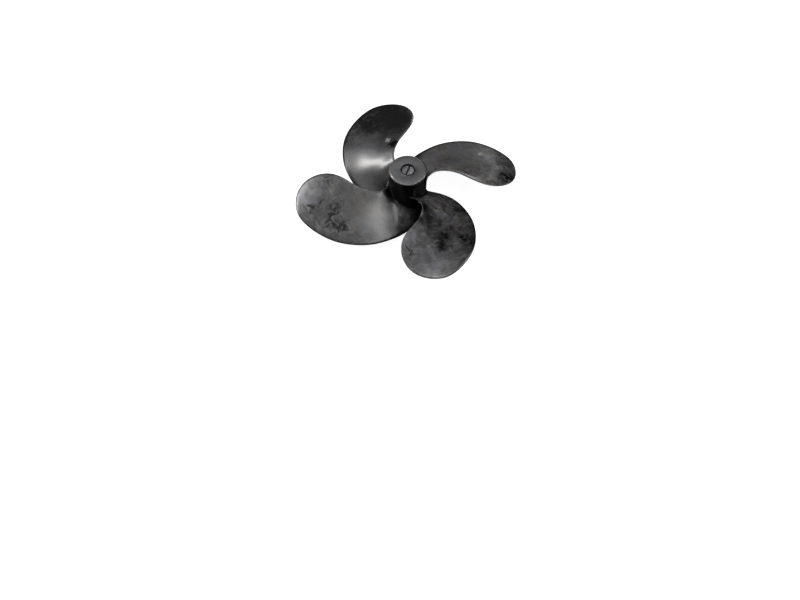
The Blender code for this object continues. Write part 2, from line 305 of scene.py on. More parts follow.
@dataclass(frozen=True)
class DustyNylon:
    """Satin charcoal nylon, a film of dried dust, dark stains, pale scuffs, painted light and
    shade.
    """

    charcoal: Colour = (0.0080, 0.0080, 0.0084)
    warm_dust: Colour = (0.146, 0.138, 0.131)
    cool_dust: Colour = (0.125, 0.128, 0.147)
    # The stains' colour, also the colour of painted shade.
    stain: Colour = (0.0045, 0.0045, 0.0050)
    # Pale tone of the scuffs and of the painted highlight on the nose's rim.
    scuff_and_highlight: Colour = (0.30, 0.30, 0.31)
    clouds: Cloud = Cloud(24.0 * MM, 2.0, 0.5, 1.1)
    mottle: Cloud = Cloud(9.0 * MM, 3.0, 1.0, 1.1)
    streaks: Cloud = Cloud(3.4 * MM, 3.0, 0.8, 0.9)
    blots: Cloud = Cloud(10.0 * MM, 4.0, 0.8, 0.60)
    wisps: Cloud = Cloud(8.0 * MM, 5.0, 1.2, 2.4)
    coolness: Cloud = Cloud(14.0 * MM, 2.0, 0.0, 0.7)
    flecks: Cloud = Cloud(1.8 * MM)
    waves: Cloud = Cloud(19.0 * MM, 1.0, 0.0, 0.22)
    grain: Cloud = Cloud(0.4 * MM, 2.0, 0.0, 0.0035)
    film_flecks: float = 0.2
    scuff_flecks: float = 1.2
    relief_flecks: float = 0.010
    blot_stretch: Colour = (1.0, 0.8, 1.3)
    swirl_reach: float = 22.0 * MM
    seam_deg: float = 176.5
    film: float = 0.27
    film_span: Span = (-0.25, 1.25)
    blot_span: Span = (0.48, 0.72)
    cool_span: Span = (0.42, 0.62)
    stain_span: Span = (0.24, 0.76)
    stain_start: Span = (0.0, 0.30)
    # How far stains and painted shade darken the colour and dull the sheen.
    stain_and_shade_cover: float = 0.90
    stain_and_shade_dulling: float = 0.75
    scuff_span: Span = (0.30, 0.80)
    scuff_start: Span = (0.0, 0.25)
    scuff_cover: float = 0.55
    rim_span: Span = (0.25, 0.55)
    roughness: float = 0.20
    dusty_roughness: float = 0.06
    specular: float = 0.5

    def film_share(
        self, bench: Bench, place: Field, flecks: Field, patch: Field, uneven: Field
    ) -> Field:
        """Works out how much of the surface the dried dust covers, painted light and shade
        included.

        Args:
            bench: The bench of the material.
            place: Where on the piece.
            flecks: The fine noise.
            patch: How much more dust the mesh asks for, painted light and shade included.
            uneven: How mottled the film is.

        Returns:
            The share, from 0 to 1.
        """
        swirled = bench.swirled(place, self.seam_deg, (1.0, self.swirl_reach, 1.0))
        change = bench.drift(place, self.clouds) + bench.drift(place, self.mottle)
        change = change + bench.drift(swirled, self.streaks) + self.film_flecks * (flecks - 0.5)
        film = (self.film + patch + uneven * change).step(*self.film_span)
        blots = bench.noise(bench.stretched(place, self.blot_stretch), self.blots)
        return film * (1.0 - self.blots.weight * uneven * blots.step(*self.blot_span))

    def material(self, name: str) -> bpy.types.Material:
        """Makes the material.

        Args:
            name: Its name.

        Returns:
            The material. It reads the mesh's point values, one for each tint.
        """
        made, bench = new_material(name)
        place = bench.place()
        marks = {tint: bench.attribute(tint.value) for tint in Tint}
        flecks = bench.noise(place, self.flecks)
        film = self.film_share(bench, place, flecks, marks[Tint.DUST], 1.0 - marks[Tint.EVEN])
        cool = self.coolness.weight * bench.noise(place, self.coolness).step(*self.cool_span)
        dust = bench.blend((cool + marks[Tint.COOL]).clamped(), self.warm_dust, self.cool_dust)
        colour = bench.blend(film, self.charcoal, dust)

        stained_and_shaded = (marks[Tint.STAIN] + bench.drift(place, self.wisps)).step(*self.stain_span)
        stained_and_shaded = stained_and_shaded * marks[Tint.STAIN].step(*self.stain_start)
        # Painted shade joins the stains: it darkens the colour and dulls the sheen.
        stained_and_shaded = stained_and_shaded.at_least(marks[Tint.SHADE].clamped())
        colour = bench.blend(self.stain_and_shade_cover * stained_and_shaded, colour, self.stain)

        scuffed = marks[Tint.SCUFF] + self.scuff_flecks * (flecks - 0.5)
        scuffed = scuffed.step(*self.scuff_span) * marks[Tint.SCUFF].step(*self.scuff_start)
        # Painted highlight on the nose's rim, broken up by the fine noise.
        painted_rim_highlight = marks[Tint.RIM] * flecks.step(*self.rim_span)
        scuff_and_highlight = painted_rim_highlight.at_least(self.scuff_cover * scuffed).clamped()

        relief = self.waves.weight * bench.noise(place, self.waves) + self.relief_flecks * flecks
        relief = relief + self.grain.weight * bench.noise(place, self.grain)
        bench.surface(
            {
                "Base Color": bench.blend(scuff_and_highlight, colour, self.scuff_and_highlight),
                "Roughness": self.roughness + self.dusty_roughness * film,
                "Metallic": self.stain_and_shade_dulling * stained_and_shaded,
                "Specular IOR Level": self.specular,
                "Normal": bench.bump(relief, MM),
            }
        )
        return made


@dataclass(frozen=True)
class WornMetal:
    """Bare or plated metal with turning marks, dull and grimy patches, and painted shade below a
    height.
    """

    bright: Colour
    dull: Colour
    grime_and_shade_colour: Colour
    roughness: float = 0.32
    ring_pitch: float = 0.16 * MM
    ring_depth: float = 0.012 * MM
    ring_height: float = 0.5
    relief_strength: float = 0.25
    patches: Cloud = Cloud(2.2 * MM, 4.0, 0.5, 0.25)
    pits: Cloud = Cloud(0.5 * MM, 2.0, 0.0, 1.2)
    dull_span: Span = (0.40, 0.65)
    grime_span: Span = (0.90, 1.40)
    grime_share: float = 0.35
    grime_and_shade_roughness: float = 0.35
    grime_and_shade_matt: float = 0.8
    # Below this height the metal is dark and matt: painted shade on the head's rounded edge, grime
    # in the slot.
    grime_and_shade_below: float = -1.0
    grime_and_shade_fade: float = 0.3 * MM

    def material(self, name: str) -> bpy.types.Material:
        """Makes the material.

        Args:
            name: Its name.

        Returns:
            The material, with its turning marks in rings about the shaft axis.
        """
        made, bench = new_material(name)
        place = bench.place()
        flat = bench.stretched(place, (1.0, 1.0, 0.0))
        reach = bench.node("ShaderNodeVectorMath", {"operation": "LENGTH"}, {0: flat}, "Value")
        turns = reach * (math.tau / self.ring_pitch)
        rings = bench.node("ShaderNodeMath", {"operation": "SINE"}, {0: turns})
        patches, pits = bench.noise(place, self.patches), bench.noise(place, self.pits)
        colour = bench.blend(patches.step(*self.dull_span), self.bright, self.dull)
        height = bench.node("ShaderNodeSeparateXYZ", None, {0: place}, "Z")
        low, high = self.grime_and_shade_below - self.grime_and_shade_fade, self.grime_and_shade_below + self.grime_and_shade_fade
        grime_and_shade = self.grime_share * (patches + pits).step(*self.grime_span)
        # Painted shade and grime: dark and matt below a set height.
        grime_and_shade = grime_and_shade.at_least(1.0 - height.step(low, high))
        roughness = self.roughness + self.patches.weight * (patches - 0.5)
        roughness = (roughness + self.grime_and_shade_roughness * grime_and_shade).clamped()
        relief = self.ring_height * rings + self.pits.weight * pits
        bench.surface(
            {
                "Base Color": bench.blend(grime_and_shade, colour, self.grime_and_shade_colour),
                "Roughness": roughness,
                "Metallic": 1.0 - self.grime_and_shade_matt * grime_and_shade,
                "Normal": bench.bump(relief, self.ring_depth, self.relief_strength),
            }
        )
        return made


# Shapes


class SmoothCurve:
    """The natural cubic curve through a few values."""

    def __init__(self, places: Sequence[float], values: Sequence[float]) -> None:
        """Works out how the curve bends at each place.

        Args:
            places: Where the values stand, in rising order.
            values: The values.
        """
        self.places = np.asarray(places, dtype=float)
        self.values = np.asarray(values, dtype=float)
        self.steps = np.diff(self.places)
        slope = np.diff(self.values) / self.steps
        count = len(self.places)
        system = np.eye(count)
        right = np.zeros(count)
        for i in range(1, count - 1):
            before, after = self.steps[i - 1], self.steps[i]
            system[i, i - 1 : i + 2] = before, 2.0 * (before + after), after
            right[i] = 6.0 * (slope[i] - slope[i - 1])
        self.bends = np.linalg.solve(system, right)

    def __call__(self, place: np.ndarray) -> np.ndarray:
        """Gives the curve's values.

        Args:
            place: One or more places.

        Returns:
            The value at each.
        """
        i = np.clip(np.searchsorted(self.places, place) - 1, 0, len(self.steps) - 1)
        step = self.steps[i]
        before = place - self.places[i]
        after = self.places[i + 1] - place
        straight = (self.values[i] * after + self.values[i + 1] * before) / step
        curved = self.bends[i] * (after**3 / step - after * step)
        curved += self.bends[i + 1] * (before**3 / step - before * step)
        return straight + curved / 6.0


def add_piece(name: str, shape: bmesh.types.BMesh) -> bpy.types.Object:
    """Turns a shape into an object of the scene.

    Args:
        name: The object's name.
        shape: The shape, which is freed.

    Returns:
        The object.
    """
    mesh = bpy.data.meshes.new(name)
    shape.to_mesh(mesh)
    shape.free()
    piece = bpy.data.objects.new(name, mesh)
    bpy.context.scene.collection.objects.link(piece)
    return piece


def turn_profile(name: str, profile: Profile, sides: int, closed: bool) -> bpy.types.Object:
    """Turns a profile about +Z.

    Args:
        name: The object's name.
        profile: Points of (radius, height), down the outer side.
        sides: How many steps the turn has.
        closed: True for a ring, False for a profile that starts and ends on the axis.

    Returns:
        The turned object, with its Screw modifier.
    """
    shape = bmesh.new()
    corners = [shape.verts.new((radius, 0.0, height)) for radius, height in profile]
    following = corners[1:] + corners[:1] if closed else corners[1:]
    for corner, next_corner in zip(corners, following):
        shape.edges.new((corner, next_corner))
    piece = add_piece(name, shape)
    screw = piece.modifiers.new("turn", "SCREW")
    screw.steps = sides
    screw.render_steps = sides
    screw.use_merge_vertices = True
    screw.merge_threshold = MERGE_DISTANCE
    return piece


def arc(centre: Point, radius: float, start: float, end: float, steps: int) -> Profile:
    """Gives the points of an arc in a profile.

    Args:
        centre: Its centre, as (radius, height).
        radius: Its own radius.
        start: The angle it starts at, in degrees from the outward direction.
        end: The angle it ends at.
        steps: How many straight steps it has.

    Returns:
        The points, both ends included.
    """
    angles = [math.radians(start + (end - start) * step / steps) for step in range(steps + 1)]
    return [(centre[0] + radius * math.cos(a), centre[1] + radius * math.sin(a)) for a in angles]


def combine(piece: bpy.types.Object, others: Sequence[bpy.types.Object], operation: str) -> None:
    """Joins other shapes to a piece, or cuts them away, and removes them.

    Args:
        piece: The piece that stays.
        others: The shapes that are joined or cut away.
        operation: The Boolean modifier's operation.
    """
    for other in others:
        modifier = piece.modifiers.new(other.name, "BOOLEAN")
        modifier.operation = operation
        modifier.solver = "EXACT"
        modifier.object = other
    settle(piece)
    for other in others:
        bpy.data.objects.remove(other, do_unlink=True)


def settle(piece: bpy.types.Object) -> None:
    """Turns a piece with its modifiers into a plain mesh.

    Args:
        piece: The piece.
    """
    bpy.context.view_layer.update()
    evaluated = piece.evaluated_get(bpy.context.evaluated_depsgraph_get())
    mesh = bpy.data.meshes.new_from_object(evaluated)
    mesh.name = piece.name
    piece.modifiers.clear()
    piece.data = mesh


def smooth(piece: bpy.types.Object, sharp_deg: float) -> None:
    """Shades a piece smooth, apart from the edges that are sharper than an angle."""
    piece.data.shade_smooth()
    piece.data.set_sharp_from_angle(angle=math.radians(sharp_deg))


class Subcomponent:
    """A piece of the real propeller, with its finish and the node that it stands for."""

    def dress(self, piece: bpy.types.Object) -> None:
        """Gives a built piece its finish and lets it stand for its node of the frame.

        Args:
            piece: The piece.
        """
        piece.data.materials.clear()
        piece.data.materials.append(self.finish.material(self.look))
        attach(piece, "root")
        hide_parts(self.node)
        LOG.info("%s: %d faces", piece.name, len(piece.data.polygons))


def fading(distance: np.ndarray, reach: float) -> np.ndarray:
    """Falls off smoothly from 1 at no distance to about a third at the reach."""
    return np.exp(-((distance / reach) ** 2))


@dataclass(frozen=True)
class Station:
    """One cut across the blade at a radius, in millimetres and degrees."""

    radius: float
    hollow_edge: float
    full_edge: float
    pitch: float
    height: float
    thickness: float


@dataclass(frozen=True)
class Patch:
    """A mark on the upper face of one blade."""

    blade: Blade
    tint: Tint
    radius_mm: float
    angle_deg: float
    reach_mm: float
    amount: float


@dataclass
class BladeForm:
    """The blade's shape: a helical face whose two edges sweep back to a round tip."""

    tip_radius: float = 115.4 * MM
    tip_angle_deg: float = -71.8
    tip_height: float = 24.8 * MM
    tip_pitch: float = 101.0 * MM
    tip_thickness: float = 2.2 * MM
    reference_deg: float = -60.0
    root_depth: float = 1.6 * MM
    root_fillet: float = 3.0 * MM
    fillet_start: float = 0.1
    edge_width: float = 3.2 * MM
    edge_height: float = 0.8 * MM
    edge_taper: float = 7.0 * MM
    rows: int = 72
    columns: int = 36
    row_crowding: float = 1.5
    stations: tuple[Station, ...] = (
        Station(19.4, -84.0, 49.0, 85.0, 31.5, 5.2),
        Station(21.5, -72.5, 43.8, 98.0, 32.7, 4.9),
        Station(24.5, -67.0, 35.8, 114.0, 34.2, 4.6),
        Station(30.0, -63.8, 23.2, 130.0, 35.6, 4.1),
        Station(38.0, -66.8, 9.8, 135.0, 35.3, 3.7),
        Station(48.0, -74.6, -2.0, 133.0, 34.1, 3.4),
        Station(60.0, -85.0, -14.0, 129.0, 32.4, 3.1),
        Station(72.0, -91.1, -23.9, 124.0, 30.9, 2.9),
        Station(84.0, -92.7, -33.9, 118.0, 29.4, 2.7),
        Station(96.0, -90.9, -44.5, 112.0, 27.9, 2.5),
        Station(107.0, -86.2, -56.9, 106.0, 26.2, 2.3),
    )

    def __post_init__(self) -> None:
        """Draws the smooth curves through the stations."""
        radii = [station.radius * MM for station in self.stations] + [self.tip_radius]
        places = [math.asin(radius / self.tip_radius) for radius in radii]

        def through(where: Sequence[float], name: str, scale: float, tip: float) -> SmoothCurve:
            """Draws one curve through the stations and the tip."""
            values = [getattr(station, name) * scale for station in self.stations]
            return SmoothCurve(where, values + [tip])

        self.hollow = through(places, "hollow_edge", 1.0, self.tip_angle_deg)
        self.full = through(places, "full_edge", 1.0, self.tip_angle_deg)
        self.pitch = through(radii, "pitch", MM, self.tip_pitch)
        self.height = through(radii, "height", MM, self.tip_height)
        self.thickness = through(radii, "thickness", MM, self.tip_thickness)

    def middle(self, radius: np.ndarray, angle_deg: np.ndarray) -> np.ndarray:
        """Gives points of the blade's middle face.

        Args:
            radius: Their distance from the axis.
            angle_deg: Their angle about it.

        Returns:
            The points, with X, Y and Z last.
        """
        angle = np.radians(angle_deg)
        turned = (angle_deg - self.reference_deg) / FULL_TURN_DEG
        height = self.height(radius) - self.pitch(radius) * turned
        return np.stack([radius * np.cos(angle), radius * np.sin(angle), height], axis=-1)

    def normal(self, radius: np.ndarray, angle_deg: np.ndarray) -> np.ndarray:
        """Gives the upward unit normals of the middle face.

        Args:
            radius: The points' distance from the axis.
            angle_deg: Their angle about it.

        Returns:
            The normals.
        """
        small, small_deg = 0.05 * MM, 0.05
        outward = self.middle(radius + small, angle_deg) - self.middle(radius - small, angle_deg)
        ahead = self.middle(radius, angle_deg + small_deg)
        around = ahead - self.middle(radius, angle_deg - small_deg)
        normal = np.cross(outward, around)
        return normal / np.linalg.norm(normal, axis=-1, keepdims=True)

    def edge_gaps(self, radius: np.ndarray, angle_deg: np.ndarray) -> list[np.ndarray]:
        """Gives about how far points are from each of the blade's two edges.

        Args:
            radius: The points' distance from the axis.
            angle_deg: Their angle about it.

        Returns:
            The distances from the hollow edge, then those from the full edge.
        """
        small = 0.001
        place = np.arcsin(np.clip(radius / self.tip_radius, 0.0, 1.0))
        gaps = []
        for edge, sign in ((self.hollow, 1.0), (self.full, -1.0)):
            before = np.minimum(place, QUARTER_TURN - small) - small
            turn = np.radians(edge(before + 2 * small) - edge(before)) / (2 * small)
            run = self.tip_radius * np.cos(before + small)
            slant = np.hypot(1.0, radius * turn / run)
            arc_gap = sign * radius * np.radians(angle_deg - edge(place))
            gaps.append(np.maximum(arc_gap, 0.0) / slant)
        return gaps

    def half_thickness(self, radius: np.ndarray, angle_deg: np.ndarray) -> np.ndarray:
        """Gives half the blade's thickness.

        Args:
            radius: The points' distance from the axis.
            angle_deg: Their angle about it.

        Returns:
            The half thicknesses, with the rounded edge and the fillet at the barrel.
        """
        hollow, full = self.edge_gaps(radius, angle_deg)
        distance = hollow * full / np.maximum(np.hypot(hollow, full), MERGE_DISTANCE)
        across = np.minimum(distance / self.edge_width, 1.0)
        rounded = self.edge_height * np.sqrt(1.0 - (1.0 - across) ** 2)
        body = self.thickness(radius) / 2 - self.edge_height
        swell = body * (1.0 - np.exp(-distance / self.edge_taper))
        first = self.fillet_start * self.root_fillet
        out = np.clip(radius - HUB_RADIUS, first, self.root_fillet)
        fillet = self.root_fillet - np.sqrt(self.root_fillet**2 - (self.root_fillet - out) ** 2)
        return rounded + swell + fillet * (1.0 - np.exp(-distance / self.root_fillet))

    def grid(self) -> tuple[np.ndarray, np.ndarray]:
        """Lays a grid of rows and columns over the blade.

        Returns:
            The radius and the angle of each grid point, rows first. The last row is the tip.
        """
        root = math.asin((HUB_RADIUS - self.root_depth) / self.tip_radius)
        share = (np.arange(self.rows + 1) / self.rows) ** self.row_crowding
        place = (root + (QUARTER_TURN - root) * share)[:, None]
        across = np.sin(QUARTER_TURN * (2.0 * np.arange(self.columns + 1) / self.columns - 1.0))
        first, last = self.hollow(place), self.full(place)
        angle = (first + last) / 2 + across[None, :] * (last - first) / 2
        return np.broadcast_to(self.tip_radius * np.sin(place), angle.shape), angle

    def build(self, name: str) -> bpy.types.Object:
        """Lofts one blade from inside the hub's wall to its tip.

        Args:
            name: The object's name.

        Returns:
            The blade.
        """
        radius, angle = self.grid()
        middle, normal = self.middle(radius, angle), self.normal(radius, angle)
        half = self.half_thickness(radius, angle)
        half[:, 0] = half[:, -1] = half[-1, :] = 0.0
        shape = bmesh.new()
        rows = {}
        for side in Side:
            points = middle + side.value * normal * half[..., None]
            rows[side] = [[shape.verts.new(point) for point in row] for row in points[:-1]]
        for upper, lower in zip(rows[Side.UPPER], rows[Side.LOWER]):
            for end in (0, -1):
                shape.verts.remove(lower[end])
                lower[end] = upper[end]
        tip = shape.verts.new(middle[-1, 0])
        for lines in rows.values():
            for inner, outer in zip(lines, lines[1:]):
                for column in range(self.columns):
                    near, far = inner[column : column + 2], outer[column : column + 2]
                    shape.faces.new([near[0], far[0], far[1], near[1]])
            for first, second in zip(lines[-1], lines[-1][1:]):
                shape.faces.new([first, tip, second])
        closing = list(zip(rows[Side.UPPER][0], rows[Side.LOWER][0]))
        for near, far in zip(closing, closing[1:]):
            shape.faces.new(tuple(dict.fromkeys((near[0], far[0], far[1], near[1]))))
        bmesh.ops.recalc_face_normals(shape, faces=shape.faces)
        return add_piece(name, shape)


@dataclass
class Moulding(Subcomponent):
    """The hub with its four blades: barrel, nose, cored back with ribs, and boss."""

    screw: "RetainingScrew"
    name: str = "moulded_hub_and_blades"
    node: str = "propeller_moulding"
    look: str = "dusty_nylon"
    slot: str = "plastic"
    hub_wall: float = 3.5 * MM
    nose_thickness: float = 9.0 * MM
    nose_edge_radius: float = 2.4 * MM
    back_edge_radius: float = 0.6 * MM
    recess_radius: float = 7.4 * MM
    recess_edge: float = 0.25 * MM
    boss_wall: float = 3.0 * MM
    core_fillet: float = 0.8 * MM
    seat_gap: float = 0.3 * MM
    rib_count: int = 8
    rib_thickness: float = 2.2 * MM
    rib_sink: float = 3.0 * MM
    rib_edge: float = 0.4 * MM
    sides: int = 144
    round_steps: int = 10
    fine_steps: int = 5
    edge_steps: int = 3
    sharp_deg: float = 38.0
    fit_gap: float = MERGE_DISTANCE / 10
    blade: BladeForm = field(default_factory=BladeForm)
    finish: DustyNylon = field(default_factory=DustyNylon)
    nose_depth: float = 0.5 * MM
    # The nose: painted light, lighter on the left and darker on the right; a painted highlight on
    # the front of its rim, painted shade on its back.
    nose_dust_and_light: float = -0.03
    nose_painted_light_fall: float = 0.08
    nose_even: float = 0.7
    nose_cool: float = 0.5
    nose_painted_highlight: float = 1.60
    nose_shade: float = 0.70
    nose_highlight_deg: float = 245.0
    rim_reach: float = 1.2 * MM
    barrel_reach: float = 1.0 * MM
    # The barrel: less dust and painted shade on its side, painted shade in the fillets at the
    # blades' roots.
    barrel_dust_for_shade: float = -0.30
    barrel_even: float = 0.8
    barrel_shade: float = 0.45
    wall_depth: float = 0.24 * MM
    fillet_shade: float = 0.60
    fillet_reach: float = 1.6 * MM
    blade_gap: float = 0.5 * MM
    own_turn_from_deg: float = -230.0
    margin: float = 3.0 * MM
    margin_depth: float = 7.5 * MM
    margin_fade: float = 14.0 * MM
    # Along the edges: paler at the hollow edge (dust, and a painted highlight), painted shade at
    # the full edge.
    hollow_margin_dust_and_highlight: float = 0.10
    full_margin_shade: float = 0.75
    patch_depth: float = 15.0 * MM
    patch_wrap: float = 1.0 * MM
    patch_fade: float = 0.3 * MM
    # The shade patches are painted shade, where a blade lies in shadow or turns away from the
    # light.
    patches: tuple[Patch, ...] = (
        Patch(Blade.REAR, Tint.DUST, 98.0, -74.0, 38.0, -0.46),
        Patch(Blade.REAR, Tint.DUST, 78.0, -84.0, 16.0, -0.25),
        Patch(Blade.REAR, Tint.DUST, 70.0, -56.0, 15.0, 0.18),
        Patch(Blade.REAR, Tint.SHADE, 72.0, -29.0, 11.0, 0.75),
        # Painted shade over a glint on the root of the blade's full edge.
        Patch(Blade.REAR, Tint.SHADE, 21.5, -15.0, 5.0, 0.90),
        Patch(Blade.REAR, Tint.EVEN, 52.0, -38.0, 42.0, 0.90),
        Patch(Blade.REAR, Tint.EVEN, 84.0, -80.0, 20.0, 0.55),
        Patch(Blade.REAR, Tint.COOL, 62.0, -52.0, 16.0, 0.60),
        Patch(Blade.REAR, Tint.STAIN, 50.0, -74.0, 6.5, 0.95),
        Patch(Blade.REAR, Tint.SCUFF, 58.5, -68.5, 3.6, 1.15),
        Patch(Blade.RIGHT, Tint.DUST, 48.0, -38.0, 30.0, 0.20),
        Patch(Blade.RIGHT, Tint.DUST, 107.0, -82.0, 9.0, -0.36),
        Patch(Blade.RIGHT, Tint.DUST, 55.0, -47.0, 9.0, -0.22),
        Patch(Blade.RIGHT, Tint.EVEN, 64.0, -48.0, 44.0, 0.80),
        Patch(Blade.RIGHT, Tint.SCUFF, 88.0, -58.5, 4.2, 0.75),
        Patch(Blade.RIGHT, Tint.STAIN, 101.0, -84.0, 9.0, 0.62),
        Patch(Blade.RIGHT, Tint.STAIN, 99.0, -68.0, 5.0, 0.50),
        Patch(Blade.FRONT, Tint.DUST, 29.0, -40.0, 11.0, 0.36),
        Patch(Blade.FRONT, Tint.DUST, 63.0, -65.0, 13.0, -0.18),
        Patch(Blade.FRONT, Tint.SHADE, 36.0, -65.0, 7.5, 1.20),
        Patch(Blade.FRONT, Tint.SHADE, 50.0, -76.0, 6.0, 0.90),
        Patch(Blade.FRONT, Tint.SHADE, 60.0, -20.0, 8.0, 0.55),
        Patch(Blade.FRONT, Tint.DUST, 84.0, -42.0, 20.0, -0.24),
        Patch(Blade.FRONT, Tint.STAIN, 73.0, -59.5, 7.0, 0.55),
        Patch(Blade.FRONT, Tint.STAIN, 84.0, -64.0, 8.0, 0.55),
        Patch(Blade.FRONT, Tint.STAIN, 84.0, -45.0, 10.0, 0.52),
        Patch(Blade.FRONT, Tint.DUST, 74.0, -88.0, 8.0, 0.22),
        Patch(Blade.FRONT, Tint.STAIN, 86.0, -87.0, 8.0, 0.55),
        Patch(Blade.FRONT, Tint.DUST, 111.0, -76.0, 9.0, 0.55),
        Patch(Blade.FRONT, Tint.COOL, 92.0, -80.0, 24.0, 0.90),
        Patch(Blade.LEFT, Tint.DUST, 108.0, -80.0, 16.0, 1.20),
        Patch(Blade.LEFT, Tint.STAIN, 98.0, -71.0, 10.0, 0.46),
        Patch(Blade.LEFT, Tint.STAIN, 79.0, -66.0, 10.0, 0.52),
        Patch(Blade.LEFT, Tint.STAIN, 86.0, -52.0, 15.0, 0.53),
        Patch(Blade.LEFT, Tint.STAIN, 82.0, -87.0, 8.0, 0.45),
        Patch(Blade.LEFT, Tint.EVEN, 56.0, -50.0, 22.0, 0.70),
        # Painted highlight: paler along the band where the blade reflects a lamp.
        Patch(Blade.LEFT, Tint.DUST, 49.0, -44.0, 12.0, 0.52),
        Patch(Blade.LEFT, Tint.SHADE, 23.0, -56.0, 7.0, 1.20),
        # Painted light: paler where light reaches the blade's root beside the hub.
        Patch(Blade.LEFT, Tint.DUST, 28.0, -19.0, 8.0, 0.65),
        Patch(Blade.LEFT, Tint.COOL, 103.0, -75.0, 18.0, 0.80),
    )

    def __post_init__(self) -> None:
        """Takes the heights from the frame."""
        self.nose_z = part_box(self.node)[1].z
        insert_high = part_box("shaft_insert")[1]
        self.insert_radius = insert_high.x
        self.insert_top = insert_high.z
        self.core_top = self.nose_z - self.nose_thickness
        self.core_radius = HUB_RADIUS - self.hub_wall
        self.boss_radius = self.insert_radius + self.seat_gap + self.boss_wall

    def hub(self) -> bpy.types.Object:
        """Turns the hub.

        Returns:
            The hub.
        """
        floor = self.screw.seat_z - self.seat_gap
        hole = self.screw.shank_radius + self.seat_gap
        bore = self.insert_radius + self.seat_gap
        top = self.insert_top + self.seat_gap
        rim = (HUB_RADIUS - self.nose_edge_radius, self.nose_z - self.nose_edge_radius)
        back = (HUB_RADIUS - self.back_edge_radius, self.back_edge_radius)
        edge = (self.recess_radius + self.recess_edge, self.nose_z - self.recess_edge)
        wall_corner = (self.core_radius - self.core_fillet, self.core_top - self.core_fillet)
        boss_corner = (self.boss_radius + self.core_fillet, self.core_top - self.core_fillet)
        profile = arc(rim, self.nose_edge_radius, 90.0, 0.0, self.round_steps)
        profile += arc(back, self.back_edge_radius, 0.0, -90.0, self.fine_steps)
        profile += [(self.core_radius, 0.0)]
        profile += arc(wall_corner, self.core_fillet, 0.0, 90.0, self.fine_steps)
        profile += arc(boss_corner, self.core_fillet, 90.0, 180.0, self.fine_steps)
        profile += [(self.boss_radius, 0.0), (bore, 0.0), (bore, top), (hole, top), (hole, floor)]
        profile += [(self.recess_radius, floor)]
        profile += arc(edge, self.recess_edge, 180.0, 90.0, self.edge_steps)
        return turn_profile(self.name, profile, self.sides, True)

    def ribs(self) -> bpy.types.Object:
        """Makes the ribs that tie the boss to the barrel, with rounded lower edges."""
        shape = bmesh.new()
        inner = self.boss_radius - self.boss_wall / 2
        outer = self.core_radius + self.hub_wall / 2
        low, high = self.rib_sink, self.core_top + self.nose_thickness / 4
        size = Matrix.Diagonal((outer - inner, self.rib_thickness, high - low, 1.0))
        place = Matrix.Translation(((inner + outer) / 2, 0.0, (low + high) / 2))
        for rib in range(self.rib_count):
            turn = Matrix.Rotation(math.tau * (rib + 0.5) / self.rib_count, 4, "Z")
            bmesh.ops.create_cube(shape, size=1.0, matrix=turn @ place @ size)
        below = self.rib_sink + MM
        lower = [edge for edge in shape.edges if all(v.co.z < below for v in edge.verts)]
        bmesh.ops.bevel(
            shape, geom=lower, offset=self.rib_edge, segments=self.edge_steps, affect="EDGES"
        )
        return add_piece("ribs", shape)

    def build(self) -> bpy.types.Object:
        """Joins the hub, the ribs and the four blades.

        Returns:
            The moulding.
        """
        piece = self.hub()
        others = [self.ribs()]
        for blade in Blade:
            made = self.blade.build(f"blade_{blade.name.lower()}")
            made.rotation_euler.z = math.radians(blade.value)
            others.append(made)
        combine(piece, others, "UNION")
        self.fit(piece)
        self.mark(piece)
        smooth(piece, self.sharp_deg)
        return piece

    def fit(self, piece: bpy.types.Object) -> None:
        """Draws the fine outline in to the frame's box, by a few hundredths of a millimetre.

        Args:
            piece: The moulding.
        """
        reach = max(max(abs(vertex.co.x), abs(vertex.co.y)) for vertex in piece.data.vertices)
        share = min(1.0, (CAD_BOX[1].x - self.fit_gap) / reach)
        piece.data.transform(Matrix.Diagonal((share, share, 1.0, 1.0)))

    def mark(self, piece: bpy.types.Object) -> None:
        """Writes where the moulding has dust, stains and scuffs, and where light and shade are
        painted.

        Args:
            piece: The moulding.
        """
        points = np.empty(len(piece.data.vertices) * 3)
        piece.data.vertices.foreach_get("co", points)
        points = points.reshape(-1, 3)
        radius = np.hypot(points[:, 0], points[:, 1])
        angle = np.degrees(np.arctan2(points[:, 1], points[:, 0]))
        values = {tint: np.zeros(len(points)) for tint in Tint}
        on_blade = radius > HUB_RADIUS + self.blade_gap
        reach = np.clip(radius, HUB_RADIUS, self.blade.tip_radius)
        upper = np.zeros(len(points))
        for blade in Blade:
            local = (angle - blade.value - self.own_turn_from_deg) % FULL_TURN_DEG
            local += self.own_turn_from_deg
            near = self.blade.middle(reach, local)[:, 2] - points[:, 2]
            close = on_blade & (np.abs(near) < self.margin_depth)
            above = on_blade & (np.abs(near) < self.patch_depth)
            wrap = np.clip((self.patch_wrap - near) / self.patch_fade, 0.0, 1.0)
            upper = np.maximum(upper, above * wrap)
            gaps = self.blade.edge_gaps(reach, local)
            hollow, full = (fading(gap, self.margin) for gap in gaps)
            before_tip = np.clip((self.blade.tip_radius - radius) / self.margin_fade, 0.0, 1.0)
            # Paler along the hollow edge: dust, and a painted highlight on the rounded edge.
            values[Tint.DUST] += self.hollow_margin_dust_and_highlight * close * hollow
            # Painted shade along the full edge, where the blade's face turns away from the light.
            values[Tint.SHADE] += self.full_margin_shade * close * before_tip * full
        beyond = radius - HUB_RADIUS
